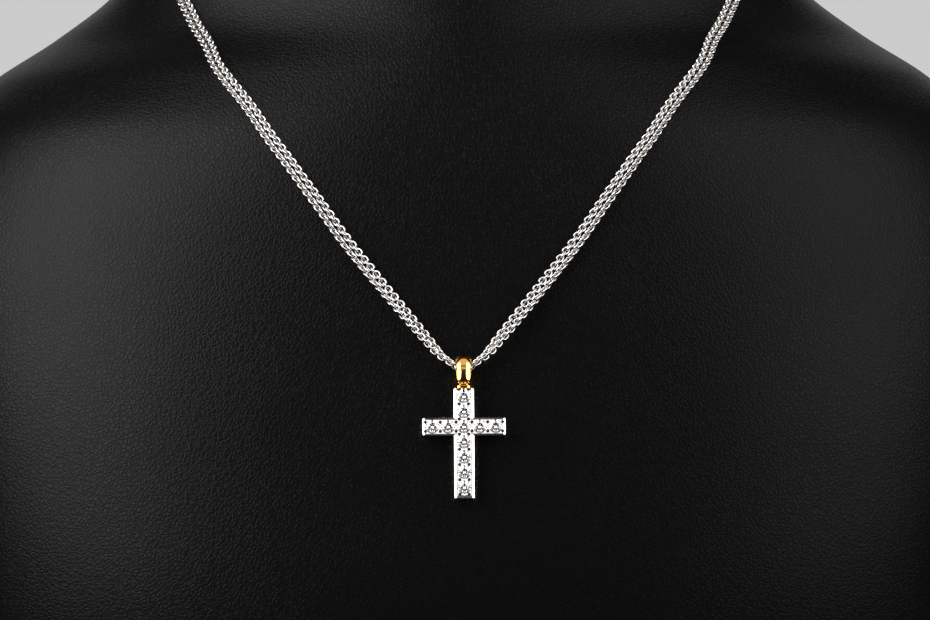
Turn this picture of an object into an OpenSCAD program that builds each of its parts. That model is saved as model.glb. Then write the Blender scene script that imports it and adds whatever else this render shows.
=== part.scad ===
// Cross pendant on two fine chains, laid on a plain neck bust.
// Millimetres. +Z is up and the chest faces -Y. The origin is the middle of the bust's flat base.

/* [Bust] */
// Height of the neck bust
bust_h = 262; // [252:1:280]
// Width across the shoulders
bust_w = 224; // [214:1:236]
// Depth from the chest to the back, where the bust is deepest
bust_d = 122; // [116:1:130]
// Radius of the rolled edge round the base and round the top of the neck
bust_edge = 3; // [1:0.5:5]
// Height above the base of the spot on the chest behind the bail
hang_z = 116; // [110:0.5:120]

/* [Chains] */
// Width of one chain
chain_w = 1.4; // [1.2:0.05:1.5]
// Gap between the two chains where they lie side by side
strand_gap = 0.05; // [0.03:0.01:0.15]
// Gap between the jewel and the covered bust under it
rest_gap = 0.3; // [0.25:0.01:0.5]

/* [Clasp] */
// Length of the clasp bar along the chains
clasp_l = 9; // [7:0.5:12]
// Thickness of the clasp bar
clasp_t = 2.4; // [2:0.1:3]
// Metal of the clasp bar beside the chains, on each edge
clasp_rim = 0.9; // [0.5:0.1:1.5]
// Gap between a chain's end and the clasp bar
clasp_gap = 0.1; // [0.05:0.01:0.2]

/* [Bail] */
// Room in the eye round the two chains
eye_room = 0.37; // [0.33:0.01:0.6]
// Wall of the bail over the eye
bail_wall = 0.7; // [0.5:0.05:0.9]
// Height of the bail under its eye, down to the cross
bail_leg = 2.05; // [1.8:0.05:2.6]
// Width of the bail level with the eye
bail_w = 2.95; // [2.6:0.05:3.2]
// Width of the bail at its foot
foot_w = 2.3; // [2:0.05:2.6]
// Depth of the bail's foot
foot_d = 1.8; // [1.6:0.05:2.1]
// How far the bail's middle stands proud of its two edges
bail_dome = 0.5; // [0.2:0.05:0.6]
// Gap between the bail's foot and the cross
solder_gap = 0.04; // [0.02:0.01:0.1]

/* [Cross] */
// Diameter of each round stone
stone_d = 2.58; // [2.4:0.02:2.7]
// Gap between the stones of the upright
gap_upright = 0.3; // [0.25:0.01:0.4]
// Gap between the stones of the arms
gap_arm = 0.42; // [0.35:0.01:0.5]
// Gap between a stone and the rails beside it
field_gap = 0.11; // [0.08:0.01:0.16]
// Width of the rails along the upright
rail_upright = 0.575; // [0.4:0.025:0.7]
// Width of the rails along the arms
rail_arm = 0.375; // [0.3:0.025:0.5]
// Metal past the last stone at the top of the upright
end_top = 0.4; // [0.35:0.05:0.6]
// Metal past the last stone at the foot of the upright
end_foot = 0.95; // [0.6:0.05:1.2]
// Width of the rail across the foot
rail_foot = 0.4; // [0.25:0.05:0.6]
// Metal past the last stone at each end of the arms
end_arm = 0.66; // [0.5:0.02:0.9]
// Depth of the cross from front to back
cross_d = 2.3; // [2.1:0.05:2.6]
// Radius of the corners of the cross
cross_corner = 0.35; // [0.2:0.05:0.4]
// Depth of the sunk field between the rails
field_depth = 0.3; // [0.2:0.02:0.4]
// Radius of the beads that hold the stones
bead_r = 0.3; // [0.26:0.01:0.34]
// Distance between the two beads of a pair
bead_apart = 0.88; // [0.7:0.02:1]
// How far the stones' girdles sit under the front of the rails
girdle_sink = 0.12; // [0.08:0.02:0.2]

/* [Stone cut] */
// Share of the stone's width that its table takes
table_share = 0.57; // [0.53:0.01:0.6]
// Slope of the crown in degrees
crown_slope = 34.5; // [33:0.5:36]
// Slope of the pavilion in degrees
pavilion_slope = 41; // [40:0.5:42]
// Share of the crown's width that the star facets take
star_share = 0.5; // [0.45:0.01:0.55]
// Share of the stone's radius that the lower facets leave round the culet
lower_share = 0.23; // [0.2:0.01:0.3]
// Height of the girdle
girdle_h = 0.06; // [0.04:0.01:0.1]
// Room round each stone in its seat
seat_gap = 0.03; // [0.02:0.005:0.05]
// Radius of the hole behind a stone, as a share of the stone's radius
seat_hole = 0.4; // [0.3:0.02:0.5]

/* [Hidden] */
// Stones of the upright over and under the crossing, and on each arm
stones_over = 2;
stones_under = 4;
stones_arm = 2;
stone_count = stones_over + 1 + stones_under + 2 * stones_arm;
$fn = 48;
// A step that is small beside every size here
fine = 0.01;

// Sections of the bust. Each row has the height as a share of bust_h, the half width as a share of
// half of bust_w, then the front, the back and the widest line as shares of bust_d behind the origin,
// and the squareness of the outline, where 2 is an ellipse.
section_rows = [
    [0.000, 0.850, -0.410, 0.410, 0.016, 2.50],
    [0.120, 0.905, -0.455, 0.434, 0.016, 2.50],
    [0.260, 0.950, -0.463, 0.475, 0.025, 2.50],
    [0.380, 0.985, -0.434, 0.508, 0.033, 2.45],
    [0.480, 1.000, -0.395, 0.533, 0.049, 2.40],
    [0.560, 0.995, -0.352, 0.541, 0.074, 2.35],
    [0.620, 0.955, -0.311, 0.541, 0.098, 2.15],
    [0.665, 0.860, -0.272, 0.537, 0.115, 1.85],
    [0.700, 0.738, -0.238, 0.533, 0.131, 1.65],
    [0.735, 0.634, -0.203, 0.525, 0.148, 1.75],
    [0.780, 0.557, -0.172, 0.512, 0.164, 2.00],
    [0.840, 0.512, -0.152, 0.500, 0.172, 2.10],
    [0.920, 0.500, -0.149, 0.500, 0.172, 2.10],
    [1.000, 0.510, -0.160, 0.512, 0.172, 2.10]];

// Route of the chains from the bail to the nape, on one side of the chest. Each row has the angle
// round the bust from its front, the height above hang_z, how much of the bail's distance from the
// chest the chains still keep, and the angle that the pair is rolled to, one chain behind the other.
route_rows = [
    [0.0, -0.3, 1.00, 90],
    [0.6, 0.1, 0.98, 90],
    [1.4, 1.1, 0.93, 80],
    [2.4, 2.8, 0.83, 62],
    [3.6, 5.6, 0.70, 46],
    [7.45, 14.8, 0.25, 24],
    [11.2, 24.1, 0.05, 8],
    [14.7, 33.4, 0.00, 0],
    [18.7, 42.7, 0.00, 0],
    [24.1, 52.1, 0.00, 0],
    [33.7, 61.7, 0.00, 0],
    [42.4, 67.4, 0.00, 0],
    [51.5, 73.6, 0.00, 0],
    [61.5, 80.0, 0.00, 0],
    [73.0, 85.8, 0.00, 0],
    [87.0, 90.2, 0.00, 0],
    [102.0, 92.6, 0.00, 0],
    [119.0, 93.0, 0.00, 0],
    [138.0, 91.8, 0.00, 0],
    [159.0, 89.8, 0.00, 0],
    [180.0, 89.0, 0.00, 0]];

// A smooth curve through the rows of a table, by their column c, or by their number where c is -1.
function slope_of(t, c, i) =
    let (lo = max(i - 1, 0), hi = min(i + 1, len(t) - 1))
    (t[hi] - t[lo]) / (c < 0 ? hi - lo : t[hi][c] - t[lo][c]);
function row_under(t, v, i = 0) = i >= len(t) - 2 || t[i + 1][0] > v ? i : row_under(t, v, i + 1);
function between(t, c, i, v) =
    let (start = c < 0 ? i : t[i][c], step = c < 0 ? 1 : t[i + 1][c] - t[i][c], s = (v - start) / step)
    (2 * s ^ 3 - 3 * s ^ 2 + 1) * t[i] + (s ^ 3 - 2 * s ^ 2 + s) * step * slope_of(t, c, i)
    + (3 * s ^ 2 - 2 * s ^ 3) * t[i + 1] + (s ^ 3 - s ^ 2) * step * slope_of(t, c, i + 1);

// A point on the bust: an angle round it from the front, and a height.
function section_at(z) = between(section_rows, 0, row_under(section_rows, z / bust_h), z / bust_h);
function on_bust(angle, z, inset = 0) =
    let (s = section_at(z),
         round = (abs(sin(angle)) ^ s[5] + abs(cos(angle)) ^ s[5]) ^ (-1 / s[5]),
         half = s[1] * bust_w / 2 - inset,
         deep = (cos(angle) > 0 ? s[4] - s[2] : s[3] - s[4]) * bust_d - inset)
    [half * sin(angle) * round, s[4] * bust_d - deep * cos(angle) * round, z];
function unit(v) = v / norm(v);
function off_bust(angle, z) = unit(cross(
    on_bust(angle + fine, z) - on_bust(angle - fine, z),
    on_bust(angle, z + fine) - on_bust(angle, z - fine)));

// The eye of the bail, its pin line and the lean of the pendant against the chest.
strand_pitch = chain_w + strand_gap;
eye_r = (strand_pitch + chain_w) / 2 + eye_room;
bail_r = eye_r + bail_wall;
pin_lift = bail_r + rest_gap;
pin = on_bust(0, hang_z) + off_bust(0, hang_z) * pin_lift;

// The cross, measured down from the pin line.
pitch_upright = stone_d + gap_upright;
pitch_arm = stone_d + gap_arm;
field_w = stone_d + 2 * field_gap;
upright_w = field_w + 2 * rail_upright;
arm_h = field_w + 2 * rail_arm;
cross_top = -(eye_r + bail_leg + solder_gap);
arm_z = cross_top - end_top - stone_d / 2 - stones_over * pitch_upright;
cross_foot = arm_z - stones_under * pitch_upright - stone_d / 2 - end_foot;
arm_reach = stones_arm * pitch_arm + stone_d / 2 + end_arm;
foot_z = pin[2] + cross_foot;
foot_spot = on_bust(0, foot_z) + off_bust(0, foot_z) * (cross_d / 2 + rest_gap);
lean = atan((pin[1] - foot_spot[1]) / (pin[2] - foot_spot[2]));

// Where each stone sits: the upright from the top down, then the left arm and the right arm.
upright_places = [for (i = [-stones_over : stones_under]) [0, arm_z - i * pitch_upright]];
arm_places = [for (side = [-1, 1], i = [stones_arm : -1 : 1]) [side * i * pitch_arm, arm_z]];
stone_places = concat(upright_places, arm_places);
girdle_y = -cross_d / 2 + girdle_sink;
field_over = gap_upright / 2;
field_floor = -cross_d / 2 + field_depth;

// Half of the chains' route, and the same route with both halves, from -1 over the bail at 0 to 1.
route_end = len(route_rows) - 1;
nape = on_bust(180, hang_z + route_rows[route_end][1]);
last_angle = 180 - asin((clasp_l / 2 + clasp_gap) / (section_at(nape[2])[1] * bust_w / 2));
last_span = (last_angle - route_rows[route_end - 1][0]) / (180 - route_rows[route_end - 1][0]);
route_stop = route_end - 1 + last_span;
chain_lift = chain_w / 2 + rest_gap;
function route_at(q) = between(route_rows, -1, min(floor(abs(q)), route_end - 1), abs(q));
function side_of(q) = q < 0 ? -1 : 1;
function lift_at(r) = chain_lift + (pin_lift - chain_lift) * r[2];
function mid_at(q) =
    let (r = route_at(q), z = hang_z + r[1], p = on_bust(r[0], z) + off_bust(r[0], z) * lift_at(r))
    [side_of(q) * p[0], p[1], p[2]];
function out_at(q) =
    let (r = route_at(q), n = off_bust(r[0], hang_z + r[1]))
    [side_of(q) * n[0], n[1], n[2]];
function along_at(q) = unit(mid_at(q + fine) - mid_at(q - fine));
function frame_at(q) =
    let (t = along_at(q), b = unit(cross(t, out_at(q))), n = cross(b, t), roll = route_at(q)[3])
    [b * cos(roll) + n * sin(roll), n * cos(roll) - b * sin(roll)];

module chain(side, sides = 8, rings_a_row = 2) {
    count = floor(2 * route_stop * rings_a_row);
    rings = [for (i = [0 : count])
        let (q = route_stop * (2 * i / count - 1), f = frame_at(q),
             middle = mid_at(q) + f[0] * side * strand_pitch / 2)
        [for (k = [0 : sides - 1])
            let (a = 360 * (k + 0.5) / sides)
            middle + (f[0] * cos(a) + f[1] * sin(a)) * chain_w / 2]];
    walls = [for (i = [0 : count - 1], k = [0 : sides - 1])
        let (a = i * sides + k, b = i * sides + (k + 1) % sides)
        each [[a, b, b + sides], [a, b + sides, a + sides]]];
    start = [for (k = [sides - 1 : -1 : 0]) k];
    end = [for (k = [0 : sides - 1]) count * sides + k];
    polyhedron([for (ring = rings) each ring], concat(walls, [start, end]));
}

module chain_inner() {
    color("silver") chain(-1);
}

module chain_outer() {
    color("gainsboro") chain(1);
}

// Each level of the bust is a height and how far the rolled edge draws the outline in there.
module neck_bust(sides = 48, rows = 34, edge_rows = 3) {
    edge = [for (i = [0 : edge_rows - 1])
        let (a = 90 * i / edge_rows)
        [bust_edge * (1 - cos(a)), bust_edge * (1 - sin(a))]];
    body = [for (i = [0 : rows]) [bust_edge + (bust_h - 2 * bust_edge) * i / rows, 0]];
    top_edge = [for (i = [edge_rows - 1 : -1 : 0]) [bust_h - edge[i][0], edge[i][1]]];
    levels = concat(edge, body, top_edge);
    count = len(levels) - 1;
    points = [for (l = levels, k = [0 : sides - 1]) on_bust(360 * k / sides, l[0], l[1])];
    walls = [for (i = [0 : count - 1], k = [0 : sides - 1])
        let (a = i * sides + k, b = i * sides + (k + 1) % sides)
        each [[a, b + sides, b], [a, a + sides, b + sides]]];
    base = [for (k = [0 : sides - 1]) k];
    top = [for (k = [sides - 1 : -1 : 0]) count * sides + k];
    color("dimgray") polyhedron(points, concat(walls, [base, top]));
}

module clasp() {
    spot = nape + off_bust(180, nape[2]) * (clasp_t / 2 + rest_gap);
    tilt = asin(off_bust(180, nape[2])[2]);
    clasp_w = strand_pitch + chain_w + 2 * clasp_rim;
    color("silver") translate(spot) rotate([tilt, 0, 0]) rotate([90, 0, 90])
        linear_extrude(clasp_l, center = true) {
            square([clasp_t, clasp_w - clasp_t], center = true);
            for (side = [-1, 1]) translate([0, side * (clasp_w - clasp_t) / 2]) circle(d = clasp_t);
        }
}

// Places what is drawn round the pin line, with the chest behind it, where the pendant hangs.
module hung() {
    translate(pin) rotate([-lean, 0, 0]) children();
}

// The bail seen from the side: over the eye an arc, then two legs that draw in at the foot. Each row
// of a leg has the share of the way down to the foot, and how much of the arc's extra reach is left.
bail_bottom = cross_top + solder_gap;
leg_rows = [
    [0.20, 1.04],
    [0.42, 1.05],
    [0.60, 1.00],
    [0.72, 0.86],
    [0.81, 0.58],
    [0.88, 0.22],
    [0.94, 0.02]];
arc_steps = 14;
foot_r = foot_d / 2;
front_leg = [for (r = leg_rows) [foot_r + (bail_r - foot_r) * r[1], bail_bottom * r[0]]];
bail_outline = concat(
    [[-foot_r, bail_bottom]],
    [for (i = [len(front_leg) - 1 : -1 : 0]) [-front_leg[i][0], front_leg[i][1]]],
    [for (i = [0 : arc_steps]) let (a = 180 - 180 * i / arc_steps) [bail_r * cos(a), bail_r * sin(a)]],
    front_leg,
    [[foot_r, bail_bottom]]);

function bail_half(z) = (z > 0 ? bail_w : foot_w + (bail_w - foot_w) * (1 - z / bail_bottom)) / 2;

module bail_body(columns = 6) {
    shares = [for (j = [0 : columns]) 2 * j / columns - 1];
    points = [for (p = bail_outline, s = shares)
        let (in = bail_dome * s ^ 2 * min(1, norm(p) / bail_r), q = p * (1 - in / norm(p)))
        [bail_half(p[1]) * s, q[0], p[1] <= bail_bottom + fine ? bail_bottom : q[1]]];
    width = columns + 1;
    count = len(bail_outline);
    strips = [for (i = [0 : count - 1], j = [0 : columns - 1])
        let (a = i * width + j, b = ((i + 1) % count) * width + j)
        each [[a, b + 1, a + 1], [a, b, b + 1]]];
    left = [for (i = [count - 1 : -1 : 0]) i * width];
    right = [for (i = [0 : count - 1]) i * width + columns];
    polyhedron(points, concat(strips, [left, right]));
}

module bail() {
    color("goldenrod") hung() difference() {
        bail_body();
        rotate([0, 90, 0]) cylinder(r = eye_r, h = bail_w + 1, center = true);
    }
}

// A plate with round corners, standing in the plane of the cross.
module plate(w, h, depth) {
    rotate([90, 0, 0]) linear_extrude(depth, center = true) {
        square([w - 2 * cross_corner, h], center = true);
        square([w, h - 2 * cross_corner], center = true);
        for (x = [-1, 1], z = [-1, 1])
            translate([x * (w / 2 - cross_corner), z * (h / 2 - cross_corner)]) circle(cross_corner);
    }
}

// Heights of the stone's cut, from its girdle.
stone_r = stone_d / 2;
table_r = stone_r * table_share;
crown_h = (stone_r - table_r) * tan(crown_slope);
star_r = table_r * cos(22.5) + star_share * (stone_r - table_r * cos(22.5));
star_h = (stone_r - star_r * cos(22.5)) * tan(crown_slope);
lower_r = lower_share * stone_r;
lower_h = -girdle_h - (stone_r - lower_r * cos(22.5)) * tan(pavilion_slope);
culet_h = -girdle_h - stone_r * tan(pavilion_slope);

// The hollow that a stone sits in, with a hole through the back of the cross.
module seat() {
    back_r = stone_r * seat_hole;
    back_share = (stone_r - back_r) / (stone_r - lower_r);
    reach = cross_d;
    rotate([90, 0, 0]) rotate_extrude() polygon([
        [0, -reach],
        [back_r, -reach],
        [back_r, -girdle_h + (lower_h + girdle_h) * back_share - seat_gap],
        [stone_r + seat_gap, -girdle_h - seat_gap],
        [stone_r + seat_gap, 0],
        [star_r + seat_gap, star_h + seat_gap],
        [table_r + seat_gap, crown_h + seat_gap],
        [table_r + seat_gap, reach],
        [0, reach]]);
}

// The pairs of beads between neighbouring stones, and between the last stones and the ends.
end_skin = 0.04;
function halfway(list, i) = (list[i] + list[i + 1]) / 2;
arm_row = [for (i = [-stones_arm : stones_arm]) [i * pitch_arm, arm_z]];
upright_beads = [for (i = [0 : len(upright_places) - 2]) halfway(upright_places, i)];
arm_beads = [for (i = [0 : len(arm_row) - 2]) halfway(arm_row, i)];
end_step = stone_r + end_top - bead_r - end_skin;
last_upright = upright_places[len(upright_places) - 1];
end_beads = [upright_places[0] + [0, end_step], last_upright - [0, end_step]];
side_beads = [for (side = [-1, 1]) [side * (stones_arm * pitch_arm + end_step), arm_z]];

module bead_pair(place, across) {
    for (side = [-1, 1])
        translate([place[0], field_floor, place[1]] + across * side * bead_apart / 2) sphere(bead_r);
}

module cross_frame() {
    upright_h = cross_top - cross_foot;
    upright_mid = (cross_top + cross_foot) / 2;
    field_top = upright_places[0][1] + stone_r + field_over;
    field_foot = cross_foot + rail_foot;
    field_reach = stones_arm * pitch_arm + stone_r + field_over;
    cut = 1;
    color("whitesmoke") hung() difference() {
        union() {
            difference() {
                union() {
                    translate([0, 0, upright_mid]) plate(upright_w, upright_h, cross_d);
                    translate([0, 0, arm_z]) plate(2 * arm_reach, arm_h, cross_d);
                }
                translate([-field_w / 2, -cross_d / 2 - cut, field_foot])
                    cube([field_w, field_depth + cut, field_top - field_foot]);
                translate([-field_reach, -cross_d / 2 - cut, arm_z - field_w / 2])
                    cube([2 * field_reach, field_depth + cut, field_w]);
            }
            for (p = concat(upright_beads, end_beads)) bead_pair(p, [1, 0, 0]);
            for (p = concat(arm_beads, side_beads)) bead_pair(p, [0, 0, 1]);
        }
        for (p = stone_places) translate([p[0], girdle_y, p[1]]) seat();
    }
}

// One round brilliant: table, star facets, kites, girdle facets and pavilion.
module brilliant() {
    function ring(r, h, turn) = [for (k = [0 : 7]) let (a = 45 * k + turn) [r * cos(a), r * sin(a), h]];
    points = concat(
        ring(table_r, crown_h, 0), ring(star_r, star_h, 22.5),
        ring(stone_r, 0, 0), ring(stone_r, 0, 22.5),
        ring(stone_r, -girdle_h, 0), ring(stone_r, -girdle_h, 22.5),
        ring(lower_r, lower_h, 22.5), [[0, 0, culet_h]]);
    faces = concat(
        [[for (k = [7 : -1 : 0]) k]],
        [for (k = [0 : 7])
            let (n = (k + 1) % 8, b = (k + 7) % 8)
            each [
                [k, n, 8 + k],
                [k, 8 + k, 16 + k, 8 + b],
                [8 + k, 24 + k, 16 + k],
                [8 + k, 16 + n, 24 + k],
                [16 + k, 24 + k, 40 + k, 32 + k],
                [24 + k, 16 + n, 32 + n, 40 + k],
                [32 + k, 40 + k, 48 + k],
                [40 + k, 32 + n, 48 + k],
                [32 + k, 48 + k, 56, 48 + b]]]);
    polyhedron(points, faces);
}

module stone(i) {
    p = stone_places[i - 1];
    color("lightcyan") hung() translate([p[0], girdle_y, p[1]]) rotate([90, 0, 0]) brilliant();
}

neck_bust();
chain_inner();
chain_outer();
clasp();
bail();
cross_frame();
for (i = [1 : stone_count]) stone(i);
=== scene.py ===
import math

import bmesh
import bpy
import numpy as np
from mathutils import Matrix, Vector


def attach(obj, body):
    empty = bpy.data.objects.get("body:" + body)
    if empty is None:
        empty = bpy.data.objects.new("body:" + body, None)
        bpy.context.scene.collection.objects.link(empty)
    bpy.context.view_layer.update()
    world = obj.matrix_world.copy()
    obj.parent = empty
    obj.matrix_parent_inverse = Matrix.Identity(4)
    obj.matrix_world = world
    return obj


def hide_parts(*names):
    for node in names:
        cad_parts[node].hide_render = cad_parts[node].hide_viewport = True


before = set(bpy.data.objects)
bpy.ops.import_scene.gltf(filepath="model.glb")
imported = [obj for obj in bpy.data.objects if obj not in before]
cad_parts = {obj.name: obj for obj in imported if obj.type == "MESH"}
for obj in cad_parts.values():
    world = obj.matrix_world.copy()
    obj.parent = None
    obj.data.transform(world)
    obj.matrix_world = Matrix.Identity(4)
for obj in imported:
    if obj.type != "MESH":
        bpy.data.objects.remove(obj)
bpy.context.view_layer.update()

scene = bpy.context.scene

# The neck bust is a moulded shell, covered all over in thin black leatherette that is drawn tight and
# turned in over the rolled edges of the base and of the neck. It stands on its flat base.
# Sizes are in millimetres here, and MM turns them into the metres of the meshes and the materials.
MM = 0.001
BUST_H, BUST_W, BUST_D, BUST_EDGE = 262.0, 224.0, 122.0, 3.0
# Each row of the bust: height, half width, front, back and widest line, as shares of its three sizes, and
# the squareness of its outline.
SECTION_ROWS = np.array([
    [0.000, 0.850, -0.410, 0.410, 0.016, 2.50],
    [0.120, 0.905, -0.455, 0.434, 0.016, 2.50],
    [0.260, 0.950, -0.463, 0.475, 0.025, 2.50],
    [0.380, 0.985, -0.434, 0.508, 0.033, 2.45],
    [0.480, 1.000, -0.395, 0.533, 0.049, 2.40],
    [0.560, 0.995, -0.352, 0.541, 0.074, 2.35],
    [0.620, 0.955, -0.311, 0.541, 0.098, 2.15],
    [0.665, 0.860, -0.272, 0.537, 0.115, 1.85],
    [0.700, 0.738, -0.238, 0.533, 0.131, 1.65],
    [0.735, 0.634, -0.203, 0.525, 0.148, 1.75],
    [0.780, 0.557, -0.172, 0.512, 0.164, 2.00],
    [0.840, 0.512, -0.152, 0.500, 0.172, 2.10],
    [0.920, 0.500, -0.149, 0.500, 0.172, 2.10],
    [1.000, 0.510, -0.160, 0.512, 0.172, 2.10]])


def along_rows(rows, keys, values):
    """A smooth curve through the rows of a table, read at each of the values of its keys."""
    count = len(rows)
    lower, upper = np.maximum(np.arange(count) - 1, 0), np.minimum(np.arange(count) + 1, count - 1)
    slope = (rows[upper] - rows[lower]) / (keys[upper] - keys[lower])[:, None]
    i = np.clip(np.searchsorted(keys, values, side="right") - 1, 0, count - 2)
    step = (keys[i + 1] - keys[i])[:, None]
    s = ((values - keys[i]) / (keys[i + 1] - keys[i]))[:, None]
    return ((2 * s ** 3 - 3 * s ** 2 + 1) * rows[i] + (s ** 3 - 2 * s ** 2 + s) * step * slope[i]
            + (3 * s ** 2 - 2 * s ** 3) * rows[i + 1] + (s ** 3 - s ** 2) * step * slope[i + 1])


def on_bust(angle, height, inset=0.0):
    """Points of the bust in millimetres, by the angle round it from the front and by height."""
    angle, height, inset = np.broadcast_arrays(np.radians(angle), height, inset)
    row = along_rows(SECTION_ROWS, SECTION_ROWS[:, 0], (height / BUST_H).ravel())
    row = row.reshape(height.shape + (6,))
    sine, cosine = np.sin(angle), np.cos(angle)
    around = (abs(sine) ** row[..., 5] + abs(cosine) ** row[..., 5]) ** (-1 / row[..., 5])
    half = row[..., 1] * BUST_W / 2 - inset
    reach = np.where(cosine > 0, row[..., 4] - row[..., 2], row[..., 3] - row[..., 4])
    deep = reach * BUST_D - inset
    return np.stack([half * sine * around, row[..., 4] * BUST_D - deep * cosine * around, height], -1)


def unit(vectors):
    """The same ways with a length of one."""
    return vectors / np.linalg.norm(vectors, axis=-1, keepdims=True)


def off_bust(angle, height, fine=0.01):
    """The way straight out of the bust at each of those points."""
    angle, height = np.asarray(angle, float), np.asarray(height, float)
    return unit(np.cross(on_bust(angle + fine, height) - on_bust(angle - fine, height),
                         on_bust(angle, height + fine) - on_bust(angle, height - fine)))


def wrap(rings, looped=False):
    """Points and outward faces of a closed shell over rings of points, with a fan over each end or none."""
    rings = np.asarray(rings, float)
    count, around = rings.shape[:2]
    points = rings.reshape(-1, 3)
    faces = []
    for i in range(count if looped else count - 1):
        a, b = i * around, (i + 1) % count * around
        faces += [(a + k, a + (k + 1) % around, b + (k + 1) % around, b + k) for k in range(around)]
    if not looped:
        points = np.vstack([points, rings[0].mean(0), rings[-1].mean(0)])
        last, middle = (count - 1) * around, count * around
        faces += [(k, middle, (k + 1) % around) for k in range(around)]
        faces += [(last + k, last + (k + 1) % around, middle + 1) for k in range(around)]
    halves = np.array([f[:3] for f in faces] + [(f[0], f[2], f[3]) for f in faces if len(f) == 4])
    a, b, c = (points[halves[:, i]] - points[0] for i in range(3))
    if np.sum(a * np.cross(b, c)) < 0:
        faces = [face[::-1] for face in faces]
    return points, faces


def add_object(name, shells, finish=None, sharp=None):
    """One smooth object of shells in millimetres, with its edges kept sharp from an angle in degrees on."""
    points, faces, start = [], [], 0
    for shell_points, shell_faces in shells:
        points += (np.asarray(shell_points) * MM).tolist()
        faces += [[start + i for i in face] for face in shell_faces]
        start = len(points)
    mesh = bpy.data.meshes.new(name)
    mesh.from_pydata(points, [], faces)
    mesh.shade_smooth()
    if sharp:
        mesh.set_sharp_from_angle(angle=math.radians(sharp))
    if finish:
        mesh.materials.append(finish)
    made = bpy.data.objects.new(name, mesh)
    scene.collection.objects.link(made)
    return made


class Signal:
    """A socket of a node tree. Sums on it add Math nodes to that tree."""

    def __init__(self, tree, socket=None):
        self.tree, self.socket = tree, socket

    def node(self, kind, settings=None, inputs=None, out=0):
        """Adds a node, sets it up, fills its sockets with values or signals, and gives the outputs named."""
        made = self.tree.nodes.new(kind)
        for key, value in (settings or {}).items():
            setattr(made, key, value)
        for key, value in (inputs or {}).items():
            if isinstance(key, str):
                socket = next(s for s in made.inputs if s.name == key and s.enabled)
            else:
                socket = made.inputs[key]
            if isinstance(value, Signal):
                self.tree.links.new(value.socket, socket)
            else:
                socket.default_value = value
        if isinstance(out, tuple):
            return [Signal(self.tree, made.outputs[name]) for name in out]
        if isinstance(out, str):
            return Signal(self.tree, next(s for s in made.outputs if s.name == out and s.enabled))
        return Signal(self.tree, made.outputs[out] if len(made.outputs) else None)

    def math(self, operation, a, b=0.0):
        """One step of arithmetic on two signals or numbers."""
        return self.node("ShaderNodeMath", {"operation": operation}, {0: a, 1: b})

    def clipped(self, low, high):
        """This signal brought from the span low to high onto 0 to 1, and held there."""
        return self.node("ShaderNodeMapRange", {"interpolation_type": "SMOOTHSTEP"},
                         {"Value": self, "From Min": low, "From Max": high})

    def __add__(self, other):
        return self.math("ADD", self, other)

    def __sub__(self, other):
        return self.math("SUBTRACT", self, other)

    def __mul__(self, other):
        return self.math("MULTIPLY", self, other)

    def __mod__(self, other):
        return self.math("MODULO", self, other)

    def __rsub__(self, other):
        return self.math("SUBTRACT", other, self)

    __radd__, __rmul__ = __add__, __mul__


def new_finish(name):
    """An empty material of that name, with its shader still to be added."""
    finish = bpy.data.materials.new(name)
    finish.use_nodes = True
    finish.node_tree.nodes.clear()
    return finish, Signal(finish.node_tree)


def lay_on(pen, shader):
    """Sends a shader to the surface of the material."""
    pen.node("ShaderNodeOutputMaterial", inputs={"Surface": shader}, out=())


# The grain's cell and height in metres, and the sewn seam: half its width, its depth in grain heights, and
# the place along Y behind which the back of the bust begins.
GRAIN, GRAIN_HEIGHT, SEAM_HALF, SEAM_DEPTH, BACK_FROM = 0.0008, 0.000032, 0.0009, 14.0, 0.015
leatherette, pen = new_finish("black_leatherette")
place = pen.node("ShaderNodeTexCoord", out="Object")
swirl = pen.node("ShaderNodeTexNoise", inputs={"Vector": place, "Scale": 0.7 / GRAIN, "Detail": 2.0},
                 out="Color")
shifted = pen.node("ShaderNodeVectorMath", {"operation": "MULTIPLY_ADD"},
                   {0: swirl, 1: (GRAIN, GRAIN, GRAIN), 2: place})
creases = pen.node("ShaderNodeTexVoronoi", {"feature": "DISTANCE_TO_EDGE"},
                   {"Vector": shifted, "Scale": 1 / GRAIN}, out="Distance").clipped(0.0, 0.25)
pores = pen.node("ShaderNodeTexNoise", inputs={"Vector": shifted, "Scale": 2.4 / GRAIN, "Detail": 3.0})
patches = pen.node("ShaderNodeTexNoise", inputs={"Vector": place, "Scale": 60.0, "Detail": 3.0})
across_back, behind = pen.node("ShaderNodeSeparateXYZ", inputs={"Vector": place}, out=("X", "Y"))
off_seam = pen.math("ABSOLUTE", across_back).clipped(SEAM_HALF / 9, SEAM_HALF)
seam = (off_seam - behind.clipped(BACK_FROM, BACK_FROM + MM)).clipped(-1.0, 0.0)
height = creases * (0.55 + patches * 0.5) + pores * 0.5 + seam * SEAM_DEPTH
bump = pen.node("ShaderNodeBump", inputs={"Strength": 1.0, "Distance": GRAIN_HEIGHT, "Height": height},
                out="Normal")
# The grain's creases are coloured darker than its cells: painted shade in the creases.
crease_shaded_colour = pen.node("ShaderNodeMix", {"data_type": "RGBA"},
                 {"Factor": creases, "A": (0.003, 0.003, 0.0032, 1), "B": (0.0052, 0.0052, 0.0055, 1)},
                 out="Result")
lay_on(pen, pen.node("ShaderNodeBsdfPrincipled", inputs={
    "Base Color": crease_shaded_colour, "Roughness": 0.25 + (1 - creases) * 0.08 + patches * 0.05,
    "Specular IOR Level": 0.25, "Normal": bump}))

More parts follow.
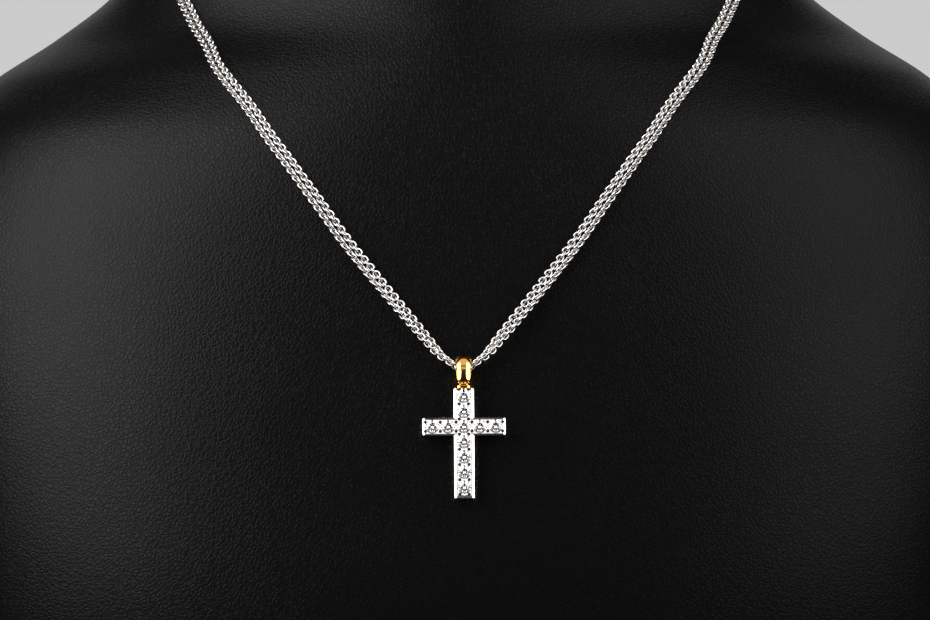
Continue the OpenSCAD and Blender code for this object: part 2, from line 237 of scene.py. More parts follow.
EDGE_STEPS, BUST_STEPS, BUST_SIDES = 8, 240, 240
edge_turn = np.radians(90 * np.arange(EDGE_STEPS) / EDGE_STEPS)
rise, draw_in = BUST_EDGE * (1 - np.cos(edge_turn)), BUST_EDGE * (1 - np.sin(edge_turn))
levels = np.concatenate([rise, np.linspace(BUST_EDGE, BUST_H - BUST_EDGE, BUST_STEPS), BUST_H - rise[::-1]])
insets = np.concatenate([draw_in, np.zeros(BUST_STEPS), draw_in[::-1]])
turns = 360 * np.arange(BUST_SIDES) / BUST_SIDES
cover_rings = [on_bust(turns, z, inset) for z, inset in zip(levels, insets)]
bust = add_object("covered_bust", [wrap(cover_rings)], leatherette)
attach(bust, "bust")
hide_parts("neck_bust")

# The cross is cast in white gold and polished: rails that slope outwards round a sunk field, a seat for
# each stone with a hole through the back, and raised beads pushed over the stones' edges.
# HANG_Z is the height on the chest off which the pin line lies, where the chains go through the bail. The
# cross's own heights are measured from that line.
HANG_Z, CHAIN_W, STRAND_GAP, REST_GAP, EYE_ROOM, BAIL_WALL = 116.0, 1.4, 0.05, 0.3, 0.37, 0.7
STRAND_PITCH = CHAIN_W + STRAND_GAP
EYE_R = (STRAND_PITCH + CHAIN_W) / 2 + EYE_ROOM
BAIL_R = EYE_R + BAIL_WALL
PIN_LIFT = BAIL_R + REST_GAP
CROSS_TOP, CROSS_FOOT, CROSS_D, ARM_Z, ARM_REACH = -3.885, -25.095, 2.3, -11.335, 7.95
FIELD_W, FIELD_DEPTH, GROOVE, RAIL_SLOPE, BACK_EDGE = 2.80, 0.22, 0.38, 0.26, 0.12
RAIL_UPRIGHT, RAIL_ARM, RAIL_TOP, RAIL_FOOT, RAIL_END, RAIL_ROUND = 0.575, 0.375, 0.25, 0.40, 0.51, 0.47
CORNER_R, CORNER_LOSS, INNER_R = 0.48, 0.36, 0.06
STONE_R, PITCH_UPRIGHT, PITCH_ARM, GIRDLE_SINK = 1.29, 2.88, 3.00, 0.12
SEAT_GAP, SEAT_LIP, SEAT_DEPTH, SEAT_SIDES, HOLE_R = 0.03, 0.09, 0.778, 32, 0.516
BEAD_R, BEAD_APART, BEAD_END, BEAD_SIDES = 0.26, 0.72, 1.35, 12
PIT_R, PIT_APART, PIT_DEPTH, PIT_SIDES = 0.33, 1.76, 0.7, 10
TRENCH_HALF, TRENCH_NEAR, TRENCH_FAR = 1.27, 0.06, 0.3
# Painted shade: the metal's colour is darkened in the pits, from this deep on, fully at the next, and only to
# the middle of the cross.
PAINTED_SHADE_FROM, PAINTED_SHADE_FULL, PAINTED_SHADE_FADE = 0.24, 0.4, 0.1
FRONT = -CROSS_D / 2
pin = on_bust(0, HANG_Z) + off_bust(0, HANG_Z) * PIN_LIFT
foot_z = pin[2] + CROSS_FOOT
foot = on_bust(0, foot_z) + off_bust(0, foot_z) * (CROSS_D / 2 + REST_GAP)
lean = math.atan((pin[1] - foot[1]) / (pin[2] - foot[2]))


def hung_at(points):
    """Points given round the pin line, with the chest behind them, brought to where the pendant hangs."""
    turned = np.array(Matrix.Rotation(-lean, 3, "X"))
    return np.asarray(points) @ turned.T + pin


def cross_ring(share, y, inset=0.0):
    """The cross's outline at a depth y, from its outer edge at share 0 to the edge of its field at share 1,
    drawn in by an inset."""
    w = FIELD_W / 2 + RAIL_UPRIGHT * (1 - share) - inset
    h = FIELD_W / 2 + RAIL_ARM * (1 - share) - inset
    top, low = CROSS_TOP - RAIL_TOP * share - inset, CROSS_FOOT + RAIL_FOOT * share + inset
    reach = ARM_REACH - RAIL_END * share - inset
    corners = np.array([(w, top), (-w, top), (-w, ARM_Z + h), (-reach, ARM_Z + h), (-reach, ARM_Z - h),
                        (-w, ARM_Z - h), (-w, low), (w, low), (w, ARM_Z - h), (reach, ARM_Z - h),
                        (reach, ARM_Z + h), (w, ARM_Z + h)])
    ring = []
    for i, corner in enumerate(corners):
        came, goes = unit(corner - corners[i - 1]), unit(corners[(i + 1) % 12] - corner)
        outer = came[0] * goes[1] > came[1] * goes[0]
        r = CORNER_R - CORNER_LOSS * share if outer else INNER_R
        for a in np.radians(np.linspace(0, 90, 5)):
            x, z = corner + (goes - came) * r - goes * r * math.cos(a) + came * r * math.sin(a)
            ring.append((x, y, z))
    return hung_at(ring)


def round_about(x, z, profile, sides):
    """Rings round a line that runs through the cross at x and z. Each row has a radius and a depth."""
    turn = np.radians(np.arange(sides) * 360 / sides)
    return [hung_at(np.stack([x + r * np.cos(turn), np.full(sides, y), z + r * np.sin(turn)], -1))
            for r, y in profile]


def polished(name, colour, roughness, pit_shade=None):
    """A polished metal with faint wiping marks. What lies deep in the cross can be given a darker colour, as
    painted shade in its pits.
    """
    metal, pen = new_finish(name)
    place = pen.node("ShaderNodeTexCoord", out="Object")
    hung = pen.node("ShaderNodeMapping", {"vector_type": "TEXTURE"},
                    {"Vector": place, "Location": (0, pin[1] * MM, pin[2] * MM), "Rotation": (-lean, 0, 0)})
    marks = pen.node("ShaderNodeTexNoise", inputs={"Vector": hung, "Scale": 2500.0, "Detail": 3.0})
    bump = pen.node("ShaderNodeBump", inputs={"Strength": 0.2, "Distance": 0.00001, "Height": marks},
                    out="Normal")
    tone = colour
    if pit_shade:
        # Painted shade: the colour turns darker with depth into the pits, in front of the cross's middle.
        depth = pen.node("ShaderNodeSeparateXYZ", inputs={"Vector": hung}, out="Y")
        sunk = depth.clipped((FRONT + PAINTED_SHADE_FROM) * MM, (FRONT + PAINTED_SHADE_FULL) * MM)
        front = 1 - depth.clipped(-PAINTED_SHADE_FADE * MM, PAINTED_SHADE_FADE * MM)
        tone = pen.node("ShaderNodeMix", {"data_type": "RGBA"},
                        {"Factor": sunk * front, "A": colour, "B": pit_shade}, out="Result")
    lay_on(pen, pen.node("ShaderNodeBsdfPrincipled", inputs={
        "Base Color": tone, "Metallic": 1.0, "Roughness": roughness + marks * 0.06, "Normal": bump}))
    return metal


# The white gold is painted darker deep in the pits and recesses, as painted shade there.
white_gold = polished("white_gold", (0.90, 0.87, 0.84, 1), 0.07, pit_shade=(0.045, 0.020, 0.013, 1))
quarter_turn = np.radians([0, 30, 60, 90])
# The rings go from the rolled edge of the back over the rails, which fall off more and more to their outer
# edge, down into a groove along them and up to the field.
rings = [cross_ring(0, -FRONT - BACK_EDGE * (1 - math.cos(a)), BACK_EDGE * (1 - math.sin(a)))
         for a in quarter_turn]
rail_rows = [(0.0, 0.12), (0.0, 0.06), (0.02, 0.02)]
rail_rows += [(share, 0.0) for share in (0.07, 0.2, 0.35, 0.5, 0.65, 0.8, 0.92)]
for share, deeper in rail_rows:
    fall = (1 - RAIL_ROUND) * (1 - share) + RAIL_ROUND * (1 - share) ** 2
    rings.append(cross_ring(share, FRONT + deeper + RAIL_SLOPE * fall))
groove_rows = [(0.97, 0.015, 0), (1.0, 0.05, 0), (1.0, GROOVE, 0), (1.0, GROOVE, 0.05),
               (1.0, FIELD_DEPTH, 0.10)]
rings += [cross_ring(share, FRONT + depth, inset) for share, depth, inset in groove_rows]
casting = add_object("casting", [wrap(rings)])
upright_line = [(0, ARM_Z + i * PITCH_UPRIGHT) for i in range(-4, 3)]
arm_line = [(i * PITCH_ARM, ARM_Z) for i in range(-2, 3)]
girdle = FRONT + GIRDLE_SINK
seat_rows = [(HOLE_R, -2 * FRONT), (HOLE_R, girdle + SEAT_DEPTH), (STONE_R + SEAT_GAP, girdle + SEAT_LIP),
             (STONE_R + SEAT_GAP, 2 * FRONT)]
pit_rows = [(PIT_R, FRONT + PIT_DEPTH), (PIT_R, 2 * FRONT)]
dome_rows = [(BEAD_R * math.cos(a), FRONT + FIELD_DEPTH - BEAD_R * math.sin(a))
             for a in np.radians([-30, 0, 20, 40, 60, 78])]
stone_spots = upright_line + [spot for spot in arm_line if spot[0]]
seats = [wrap(round_about(x, z, seat_rows, SEAT_SIDES)) for x, z in stone_spots]
beads = []
for line, (along_x, along_z) in ((upright_line, (0, 1)), (arm_line, (1, 0))):
    line, past_end = np.array(line), np.multiply(BEAD_END, (along_x, along_z))
    spots = np.vstack([(line[1:] + line[:-1]) / 2, line[0] - past_end, line[-1] + past_end])
    for spot in spots:
        for side in (-0.5, 0.5):
            aside = np.array((along_z, along_x)) * side
            seats.append(wrap(round_about(*(spot + aside * PIT_APART), pit_rows, PIT_SIDES)))
            beads.append(wrap(round_about(*(spot + aside * BEAD_APART), dome_rows, BEAD_SIDES)))
for end, way in ((CROSS_TOP - RAIL_TOP, 1), (CROSS_FOOT + RAIL_FOOT, -1)):
    low, high = sorted((end - way * TRENCH_NEAR, end - way * TRENCH_FAR))
    box = np.array([(TRENCH_HALF, low), (TRENCH_HALF, high), (-TRENCH_HALF, high), (-TRENCH_HALF, low)])
    seats.append(wrap([hung_at(np.insert(box, 1, y, axis=1)) for y in (FRONT + GROOVE, 2 * FRONT)]))
beads, seats = add_object("beads", beads), add_object("seats", seats)
cut = casting.modifiers.new("seats", "BOOLEAN")
cut.operation, cut.object, cut.solver, cut.use_self = "DIFFERENCE", seats, "EXACT", True
casting_mesh = bpy.data.meshes.new_from_object(casting.evaluated_get(bpy.context.evaluated_depsgraph_get()))
build = bmesh.new()
build.from_mesh(casting_mesh)
build.from_mesh(beads.data)
mesh = bpy.data.meshes.new("set_cross")
build.to_mesh(mesh)
build.free()
mesh.shade_smooth()
mesh.set_sharp_from_angle(angle=math.radians(38))
mesh.materials.append(white_gold)
cross = bpy.data.objects.new("set_cross", mesh)
scene.collection.objects.link(cross)
for helper in (casting, seats, beads):
    bpy.data.objects.remove(helper)
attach(cross, "pendant")
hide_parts("cross_frame")

# The stones are eleven round brilliants, clear and colourless, cut with a flat table and a pointed
# back. Each sits loose in its seat, and the beads beside it hold it there.
diamond, pen = new_finish("brilliant")
lay_on(pen, pen.node("ShaderNodeBsdfPrincipled", inputs={
    "Base Color": (1, 1, 1, 1), "Roughness": 0.0, "IOR": 2.42, "Transmission Weight": 1.0}))
stones = [stone for name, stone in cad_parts.items() if name.startswith("stone_")]
for stone in stones:
    stone.data.materials.clear()
    stone.data.materials.append(diamond)

# The bail is a polished yellow gold strap, domed across its width, that goes over the chains with a
# nearly upright front and draws in to a narrow foot soldered on the top of the cross.
BAIL_W, FOOT_W, FOOT_D, BAIL_DOME, FOOT_DOME, DOME_POWER = 2.95, 2.3, 1.8, 0.55, 0.22, 2.4
# The dome gets flatter between the shares FLAT_FROM and FLAT_FULL of the way down. STRAP_HALF turns the
# radius of the strap's rolled edges into a share of its half width.
FLAT_FROM, FLAT_FULL, EDGE_R, STRAP_HALF, SOLDER_GAP = 0.3, 0.8, 0.12, 1.4, 0.04
BAIL_FOOT = CROSS_TOP + SOLDER_GAP
# Each row of a leg: how far down it is, and how far out between the foot at 0 and the bail's radius at 1.
LEG_ROWS = np.array([[0.0, 1.0], [0.20, 1.04], [0.42, 1.05], [0.60, 1.0], [0.72, 0.86], [0.81, 0.58],
                     [0.88, 0.22], [0.94, 0.02], [1.0, 0.0]])


def bail_half(z):
    """Half the width of the bail at a height over the pin line."""
    return np.where(z > 0, BAIL_W, FOOT_W + (BAIL_W - FOOT_W) * (1 - np.minimum(z, 0) / BAIL_FOOT)) / 2


share = np.linspace(0, 1, 40)
leg = np.stack([-FOOT_D / 2 - (BAIL_R - FOOT_D / 2) * along_rows(LEG_ROWS, LEG_ROWS[:, 0], share)[:, 1],
                BAIL_FOOT * share], -1)
turn = np.radians(np.linspace(0, 180, 48))[1:-1]
outline = np.vstack([leg[::-1], np.stack([-BAIL_R * np.cos(turn), BAIL_R * np.sin(turn)], -1), leg * (-1, 1)])
outward = np.gradient(outline, axis=0)
outward = unit(np.stack([-outward[:, 1], outward[:, 0]], -1))
across = np.linspace(-1, 1, 17) * (1 - EDGE_R / STRAP_HALF)
edge_roll = np.radians([22.5, 45, 67.5, 90])


def strap_ring(spot, out, dome):
    """The strap's section where its outline passes a spot, as rows of a share of its half width and a place:
    the outside with its dome, the rolled edge, the side wall, and in to the eye."""
    rim, eye = spot - out * dome, unit(spot) * EYE_R
    inward, wall = unit(eye - rim), np.linalg.norm(eye - rim)
    r = min(EDGE_R, wall * 0.4)
    half_ring = [(1 - r / STRAP_HALF * (1 - math.sin(a)), rim + inward * r * (1 - math.cos(a)))
                 for a in edge_roll]
    half_ring += [(1.0, rim + (eye - rim) * step) for step in (0.5, 0.7)]
    half_ring += [(1 - r / 2 / STRAP_HALF * (1 - math.cos(a)), eye - inward * r / 2 * (1 - math.sin(a)))
                  for a in edge_roll]
    ring = [(x, spot - out * dome * abs(x) ** DOME_POWER) for x in across] + half_ring
    ring += [(x, eye) for x in (0.5, 0.0, -0.5)] + [(-x, at) for x, at in half_ring[::-1]]
    return hung_at([(x * float(bail_half(z)), y, max(z, BAIL_FOOT)) for x, (y, z) in ring])


rings = []
for spot, out in zip(outline, outward):
    dome = np.interp(spot[1] / BAIL_FOOT, (FLAT_FROM, FLAT_FULL), (BAIL_DOME, FOOT_DOME))
    rings.append(strap_ring(spot, out, dome))
# Four more sections close the loop across the foot, from its back to its front.
for y in (0.6, 0.2, -0.2, -0.6):
    rings.append(strap_ring(np.array([y, BAIL_FOOT]), np.array([y / (FOOT_D / 2), 0.0]), FOOT_DOME))
yellow_gold = polished("yellow_gold", (0.95, 0.49, 0.115, 1), 0.08)
strap = add_object("bail_strap", [wrap(rings, looped=True)], yellow_gold, sharp=50)
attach(strap, "pendant")
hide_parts("bail")

# The necklace is two cable chains of soldered oval links in polished silver-white metal. They lie side
# by side on the chest, go one in front of the other through the bail, and share one clasp.
# Each row of the route: angle round the bust, height over HANG_Z, share of the way out to the pin line,
# and roll of the pair from side by side at 0 to one in front of the other at 90.
ROUTE_ROWS = np.array([
    [0.0, -0.3, 1.00, 90],
    [0.6, 0.1, 0.98, 90],
    [1.4, 1.1, 0.93, 80],
    [2.4, 2.8, 0.83, 62],
    [3.6, 5.6, 0.70, 46],
    [7.45, 14.8, 0.25, 24],
    [11.2, 24.1, 0.05, 8],
    [14.7, 33.4, 0.00, 0],
    [18.7, 42.7, 0.00, 0],
    [24.1, 52.1, 0.00, 0],
    [33.7, 61.7, 0.00, 0],
    [42.4, 67.4, 0.00, 0],
    [51.5, 73.6, 0.00, 0],
    [61.5, 80.0, 0.00, 0],
    [73.0, 85.8, 0.00, 0],
    [87.0, 90.2, 0.00, 0],
    [102.0, 92.6, 0.00, 0],
    [119.0, 93.0, 0.00, 0],
    [138.0, 91.8, 0.00, 0],
    [159.0, 89.8, 0.00, 0],
    [180.0, 89.0, 0.00, 0]])
CHAIN_LIFT = CHAIN_W / 2 + REST_GAP
CLASP_L, CLASP_T, CLASP_GAP = 9.0, 2.4, 0.1
LINK_L, LINK_W, WIRE_D, LINK_PITCH, LINK_STEPS, WIRE_SIDES = 1.85, 1.60, 0.42, 0.94, 12, 6
TURN_SHAKE, TILT_SHAKE, STRAND_POINTS = 0.05, 0.015, 2400
route_end = len(ROUTE_ROWS) - 1
nape = on_bust(180, HANG_Z + ROUTE_ROWS[-1][1])
nape_half = along_rows(SECTION_ROWS, SECTION_ROWS[:, 0], np.array([nape[2] / BUST_H]))[0, 1] * BUST_W / 2
last_angle = 180 - math.degrees(math.asin((CLASP_L / 2 + CLASP_GAP) / nape_half))
route_stop = route_end - 1 + (last_angle - ROUTE_ROWS[-2][0]) / (180 - ROUTE_ROWS[-2][0])


def route(stations):
    """The middle of the pair of chains, the way out of the bust and the roll of the pair, at stations from
    one end over the bail at 0 to the other."""
    row = along_rows(ROUTE_ROWS, np.arange(route_end + 1.0), abs(stations))
    mirror = np.stack([np.where(stations < 0, -1.0, 1.0), np.ones_like(stations), np.ones_like(stations)], -1)
    z = HANG_Z + row[:, 1]
    out = off_bust(row[:, 0], z)
    lift = CHAIN_LIFT + (PIN_LIFT - CHAIN_LIFT) * row[:, 2]
    return (on_bust(row[:, 0], z) + out * lift[:, None]) * mirror, out * mirror, np.radians(row[:, 3])


# How far each chain is turned about its own length in degrees, by stations along the route.
TWIST_ROWS = np.array([[-20, 0], [-14, 24], [-9, 31], [-4, 31], [0, 14], [4, 31], [9, 31], [14, 24], [20, 0]])


def strand(name, side):
    """The line of one chain in loose edges of even length, with the way that its links face at each point,
    and the length from the middle of its first link to the middle of its last."""
    stations = np.linspace(-route_stop, route_stop, STRAND_POINTS)
    middle, out, roll = route(stations)
    along = unit(route(stations + 0.01)[0] - route(stations - 0.01)[0])
    down = unit(np.cross(along, out))
    up = np.cross(down, along)
    line = middle + (down * np.cos(roll)[:, None] + up * np.sin(roll)[:, None]) * side * STRAND_PITCH / 2
    turned = (roll + np.radians(np.interp(stations, TWIST_ROWS[:, 0], TWIST_ROWS[:, 1])) * side)[:, None]
    facing = up * np.cos(turned) - down * np.sin(turned)
    travelled = np.append(0, np.cumsum(np.linalg.norm(np.diff(line, axis=0), axis=1)))
    marks = np.linspace(LINK_L / 2, travelled[-1] - LINK_L / 2, STRAND_POINTS)
    line = np.stack([np.interp(marks, travelled, line[:, c]) for c in range(3)], -1)
    facing = np.stack([np.interp(marks, travelled, facing[:, c]) for c in range(3)], -1)
    mesh = bpy.data.meshes.new(name)
    mesh.from_pydata((line * MM).tolist(), [(i, i + 1) for i in range(len(line) - 1)], [])
    mesh.attributes.new("facing", "FLOAT_VECTOR", "POINT").data.foreach_set("vector", facing.ravel())
    base = bpy.data.objects.new(name, mesh)
    scene.collection.objects.link(base)
    return base, marks[-1] - marks[0]


silver = polished("silver_white_metal", (0.93, 0.90, 0.875, 1), 0.16)
tree = bpy.data.node_groups.new("linked_chain", "GeometryNodeTree")
CHAIN_INPUTS = {"Strand": "Geometry", "Links": "Int", "First": "Int", "Link length": "Float",
                "Link width": "Float", "Wire": "Float", "Unevenness": "Float", "Metal": "Material"}
for label, kind in CHAIN_INPUTS.items():
    tree.interface.new_socket(label, in_out="INPUT", socket_type="NodeSocket" + kind)
tree.interface.new_socket("Chain", in_out="OUTPUT", socket_type="NodeSocketGeometry")
pen = Signal(tree)
strand_in, links_in, first_in, length_in, width_in, wire_in, uneven_in, metal_in = pen.node(
    "NodeGroupInput", out=tuple(CHAIN_INPUTS))
line = pen.node("GeometryNodeMeshToCurve", inputs={0: strand_in})
spots, tangent = pen.node("GeometryNodeCurveToPoints", {"mode": "COUNT"}, {"Curve": line, "Count": links_in},
                          out=("Points", "Tangent"))
facing = pen.node("GeometryNodeInputNamedAttribute", {"data_type": "FLOAT_VECTOR"}, {"Name": "facing"},
                  "Attribute")
laid = pen.node("FunctionNodeAxesToRotation", {"primary_axis": "X", "secondary_axis": "Z"},
                {"Primary Axis": tangent, "Secondary Axis": facing})
quarter = ((pen.node("GeometryNodeInputIndex") + first_in) % 2.0) * (math.pi / 2)
shake = pen.node("FunctionNodeRandomValue", {"data_type": "FLOAT_VECTOR"},
                 {"Min": (-TURN_SHAKE, -TILT_SHAKE, -TILT_SHAKE), "Max": (TURN_SHAKE, TILT_SHAKE, TILT_SHAKE),
                  "Seed": 7}, "Value")
shake = pen.node("ShaderNodeVectorMath", {"operation": "SCALE"}, {0: shake, "Scale": uneven_in})
turn = pen.node("ShaderNodeVectorMath", {"operation": "ADD"},
                {0: shake, 1: pen.node("ShaderNodeCombineXYZ", inputs={"X": quarter})})
turn = pen.node("FunctionNodeEulerToRotation", inputs={0: turn})
laid = pen.node("FunctionNodeRotateRotation", {"rotation_space": "LOCAL"},
                {"Rotation": laid, "Rotate By": turn})
bend = pen.node("GeometryNodeCurvePrimitiveCircle", {"mode": "RADIUS"},
                {"Resolution": LINK_STEPS, "Radius": (width_in - wire_in) * 0.5}, "Curve")
# A round ring is pulled into an oval: its right half moves right, its left half left, and its middle stays.
spot = pen.node("GeometryNodeInputPosition")
sign = pen.node("ShaderNodeVectorMath", {"operation": "SIGN"},
                {0: pen.node("ShaderNodeVectorMath", {"operation": "SNAP"},
                             {0: spot, 1: (1e-6, 1e-6, 1e-6)})})
stretch = pen.node("ShaderNodeCombineXYZ", inputs={"X": (length_in - width_in) * 0.5})
stretch = pen.node("ShaderNodeVectorMath", {"operation": "MULTIPLY"}, {0: sign, 1: stretch})
oval = pen.node("GeometryNodeSetPosition", inputs={"Geometry": bend, "Offset": stretch})
wire = pen.node("GeometryNodeCurvePrimitiveCircle", {"mode": "RADIUS"},
                {"Resolution": WIRE_SIDES, "Radius": wire_in * 0.5}, "Curve")
link = pen.node("GeometryNodeCurveToMesh", inputs={"Curve": oval, "Profile Curve": wire})
chain = pen.node("GeometryNodeInstanceOnPoints", inputs={"Points": spots, "Instance": link, "Rotation": laid})
chain = pen.node("GeometryNodeRealizeInstances", inputs={"Geometry": chain})
chain = pen.node("GeometryNodeSetShadeSmooth", inputs={"Geometry": chain})
chain = pen.node("GeometryNodeSetMaterial", inputs={"Geometry": chain, "Material": metal_in})
pen.node("NodeGroupOutput", inputs={"Chain": chain}, out=())

# The outer chain starts a quarter turn on, so that a link that lies flat is always beside one on edge.
chains = []
for name, node, side, first in (("inner_chain_links", "chain_inner", -1, 0),
                                ("outer_chain_links", "chain_outer", 1, 1)):
    base, length = strand(name + "_line", side)
    links = 2 * round(length / LINK_PITCH / 2) + 1
    growth = base.modifiers.new("links", "NODES")
    growth.node_group = tree
    sizes = {"Links": links, "First": first, "Link length": LINK_L * MM, "Link width": LINK_W * MM,
             "Wire": WIRE_D * MM, "Unevenness": 1.0, "Metal": silver}
    for item in tree.interface.items_tree:
        if item.in_out == "INPUT" and item.name in sizes:
            growth[item.identifier] = sizes[item.name]
    grown = base.evaluated_get(bpy.context.evaluated_depsgraph_get())
    mesh = bpy.data.meshes.new_from_object(grown)
    mesh.name = name
    piece = bpy.data.objects.new(name, mesh)
    scene.collection.objects.link(piece)
    bpy.data.objects.remove(base)
    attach(piece, "bust")
    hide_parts(node)
    chains.append(piece)

# The clasp is a small polished box at the nape of the bust. A sprung tongue with a thumb plate goes into
# it, and an eye soldered at each end holds the last link of each chain.
CLASP_W, CLASP_EDGE, EYE_REACH, EYE_HALF = STRAND_PITCH + CHAIN_W + 1.8, 0.3, 0.8, 0.5
PLATE_AT, PLATE_L, PLATE_W = 0.75, 1.4, 2.2
clasp_out = off_bust(180, nape[2])
clasp_up = np.cross([-1, 0, 0], clasp_out)
clasp_at = nape + clasp_out * (CLASP_T / 2 + REST_GAP)
half_turn = np.radians(np.linspace(0, 180, 11))


def clasp_ring(x, inset):
    """The clasp's outline across the chains at a length along it: two straight sides and two round edges."""
    ring = []
    for way in (1, -1):
        for a in half_turn:
            up = way * ((CLASP_W - CLASP_T) / 2 + (CLASP_T / 2 - inset) * math.sin(a))
            off = way * (CLASP_T / 2 - inset) * math.cos(a)
            ring.append(clasp_at + clasp_up * up + clasp_out * off + (x, 0, 0))
    return ring


# Each row of the clasp's box: a place along it and how far the outline is drawn in there. The groove is
# where the tongue's end cap meets the box.
end_rows = [(CLASP_L / 2 - CLASP_EDGE * (1 - math.cos(a)), CLASP_EDGE * (1 - math.sin(a)))
            for a in quarter_turn]
parting_rows = [(1.78, 0.0), (1.74, 0.03), (1.72, 0.16), (1.64, 0.16), (1.62, 0.03), (1.58, 0.0)]
clasp_rows = end_rows + parting_rows + [(-x, inset) for x, inset in end_rows[::-1]]
clasp_shells = [wrap([clasp_ring(x, inset) for x, inset in clasp_rows])]
around = np.radians(np.arange(24) * 15)
round_trip = np.stack([np.cos(around), np.sin(around)], -1)
plate = np.sign(round_trip) * abs(round_trip) ** 0.5
plate_rings = []
for rise, inset in ((-0.15, 0), (0.17, 0), (0.24, 0.03), (0.28, 0.10)):
    level = clasp_at + clasp_out * (CLASP_T / 2 + rise)
    half_l, half_w = PLATE_L / 2 - inset, PLATE_W / 2 - inset
    plate_rings.append([level + (PLATE_AT + x * half_l, 0, 0) + clasp_up * z * half_w for x, z in plate])
clasp_shells.append(wrap(plate_rings))
for way in (-1, 1):
    ends = np.array([way * (route_stop - 0.01), way * route_stop])
    end, end_out = (part[1] for part in route(ends)[:2])
    ahead = unit(route(ends)[0][0] - end)
    for side in (-1, 1):
        beside, tall, rings = np.cross(ahead, end_out), end_out, []
        middle = end - ahead * CLASP_GAP + unit(beside) * side * STRAND_PITCH / 2
        # An eye is a quarter turn from the link that it holds, and the outer chain's end links are on edge.
        if side != way:
            beside, tall = tall, beside
        for a in np.radians(np.arange(20) * 18):
            spot = middle + ahead * EYE_REACH * math.cos(a) + tall * EYE_HALF * math.sin(a)
            away = unit(ahead * EYE_HALF * math.cos(a) + tall * EYE_REACH * math.sin(a))
            rings.append([spot + (away * math.cos(b) + beside * math.sin(b)) * WIRE_D / 2
                          for b in np.radians(np.arange(8) * 45)])
        clasp_shells.append(wrap(rings, looped=True))
clasp = add_object("box_clasp", clasp_shells, silver, sharp=40)
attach(clasp, "bust")
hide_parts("clasp")

# The bust stands on a plain pale floor in soft studio light: a tall softbox at each side, the left one
# stronger, a weak one behind, and small reflectors that give the metals and the stones their highlights.
# The camera looks level at the chest, a little over the pendant.
FLOOR_HALF = 3.0
floor_mesh = bpy.data.meshes.new("floor")
floor_corners = [(x * FLOOR_HALF, y * FLOOR_HALF, 0) for x, y in ((-1, -1), (1, -1), (1, 1), (-1, 1))]
floor_mesh.from_pydata(floor_corners, [], [(0, 1, 2, 3)])
floor = bpy.data.objects.new("floor", floor_mesh)
scene.collection.objects.link(floor)
floor_paint, pen = new_finish("pale_floor")
lay_on(pen, pen.node("ShaderNodeBsdfPrincipled", inputs={
    "Base Color": (0.78, 0.78, 0.77, 1), "Roughness": 0.8}))
floor_mesh.materials.append(floor_paint)
floor.visible_glossy = False

pin_at = Vector(pin.tolist()) * MM
MID_BUST = Vector((0, 0, 0.13))


def softbox(name, azimuth, elevation, distance, width, height, radiance,
            target=MID_BUST, only=None, oval=False):
    """A soft light at an azimuth round the target and an elevation over it in degrees, turned to face it.
    Its sizes are in metres. It may be kept off all but some pieces, and it may be oval."""
    a, e = math.radians(azimuth), math.radians(elevation)
    away = Vector((math.sin(a) * math.cos(e), -math.cos(a) * math.cos(e), math.sin(e)))
    light = bpy.data.lights.new(name, "AREA")
    light.shape, light.size, light.size_y = "ELLIPSE" if oval else "RECTANGLE", width, height
    light.energy = radiance * math.pi * width * height * (math.pi / 4 if oval else 1)
    lamp = bpy.data.objects.new(name, light)
    lamp.location = target + away * distance
    lamp.rotation_euler = away.to_track_quat("Z", "Y").to_euler()
    lamp.visible_camera = False
    if only:
        lamp.light_linking.receiver_collection = bpy.data.collections.new(name + "_pieces")
        for piece in only:
            lamp.light_linking.receiver_collection.objects.link(piece)
    scene.collection.objects.link(lamp)


but_the_bail = [floor, bust, clasp, cross] + chains + stones
softbox("left_softbox", -54, 31, 1.0, 0.8, 1.05, 2.4, only=but_the_bail)
softbox("right_softbox", 54, 31, 1.0, 0.8, 1.1, 0.95, only=but_the_bail)
softbox("back_softbox", 180, 30, 1.2, 1.2, 0.7, 0.35)
softbox("top_reflector", 0, 52, 1.0, 2.2, 1.25, 0.8, target=pin_at, only=[strap], oval=True)
for hand, side in (("left", -1), ("right", 1)):
    softbox(hand + "_gold_card", side * 52, 2, 1.0, 1.0, 1.7, 7.5, target=pin_at, only=[strap], oval=True)
for hand, side, radiance in (("left", -1, 3.0), ("right", 1, 4.0)):
    softbox(hand + "_card", side * 46, 2, 1.0, 0.8, 1.5, radiance, target=pin_at, only=[cross])
softbox("front_card", 0, 12, 0.9, 0.5, 0.4, 1.4, target=pin_at, only=[cross])
for hand, side in (("left", -1), ("right", 1)):
    softbox(hand + "_stone_card", side * 52, 30, 0.9, 0.8, 0.8, 4.0, target=pin_at, only=stones)
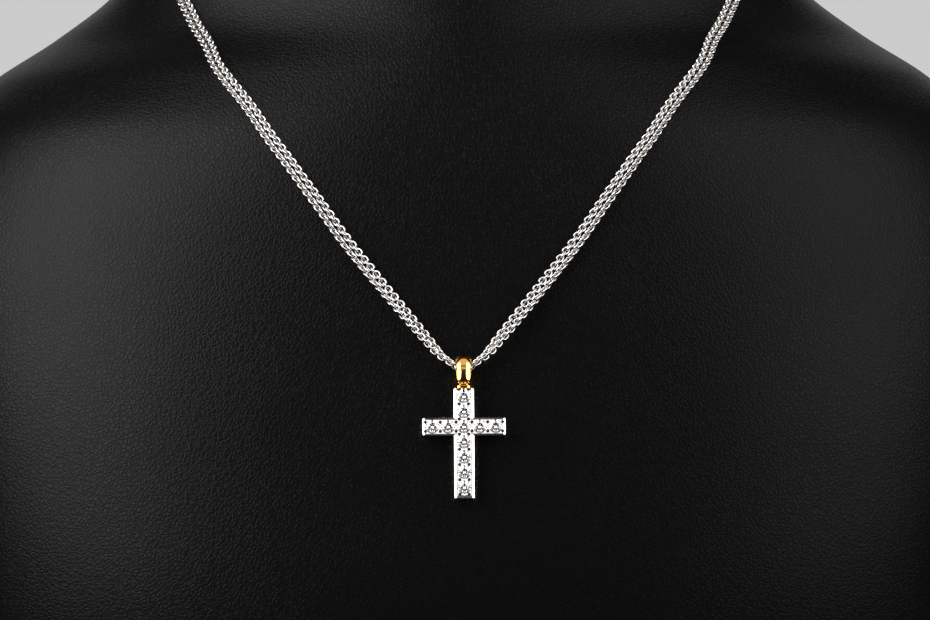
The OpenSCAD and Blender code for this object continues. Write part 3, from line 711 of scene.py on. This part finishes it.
softbox("top_stone_card", 0, 62, 0.9, 1.0, 0.6, 1.5, target=pin_at, only=stones)
softbox("chain_fill", 0, 40, 0.9, 1.8, 0.8, 1.8, target=pin_at, only=chains)
softbox("nape_fill", 165, 35, 0.9, 0.9, 0.7, 1.6, target=pin_at, only=chains + [clasp])

world = bpy.data.worlds.new("studio")
scene.world = world
world.use_nodes = True
world.node_tree.nodes.clear()
pen = Signal(world.node_tree)
# The camera sees the backdrop, polished pieces mirror the dim room, and the pale room lights dull ones.
backdrop, dim_room, pale_room = (pen.node("ShaderNodeBackground", inputs={"Color": (grey, grey, grey, 1)})
                                 for grey in (0.60, 0.02, 0.32))
seen, soft = pen.node("ShaderNodeLightPath", out=("Is Camera Ray", "Is Diffuse Ray"))
room = pen.node("ShaderNodeMixShader", inputs={0: soft, 1: dim_room, 2: pale_room})
pen.node("ShaderNodeOutputWorld", out=(), inputs={
    "Surface": pen.node("ShaderNodeMixShader", inputs={0: seen, 1: room, 2: backdrop})})
scene.view_settings.view_transform = "Standard"

# The picture's width and how far the pin line is left of and under its middle, in pixels, and the camera's
# distance, step aside and roll, in millimetres and degrees.
PICTURE_W, LEFT_OF_MIDDLE, UNDER_MIDDLE, MM_A_PIXEL = 930, 1.5, 57.5, 0.19
DISTANCE, SIDE_STEP, ROLL, SENSOR_W = 850.0, -0.35, 0.45, 36.0
camera_data = bpy.data.cameras.new("camera")
camera_data.sensor_width = SENSOR_W
camera_data.lens = SENSOR_W * DISTANCE / (PICTURE_W * MM_A_PIXEL)
camera = bpy.data.objects.new("camera", camera_data)
swing = Matrix.Rotation(math.radians(SIDE_STEP), 4, "Z") @ Matrix.Rotation(math.radians(ROLL), 4, "Y")
step = swing @ (Vector((LEFT_OF_MIDDLE * MM_A_PIXEL, -DISTANCE, UNDER_MIDDLE * MM_A_PIXEL)) * MM)
camera.matrix_world = Matrix.Translation(pin_at + step) @ swing @ Matrix.Rotation(math.radians(90), 4, "X")
scene.collection.objects.link(camera)
scene.camera = camera
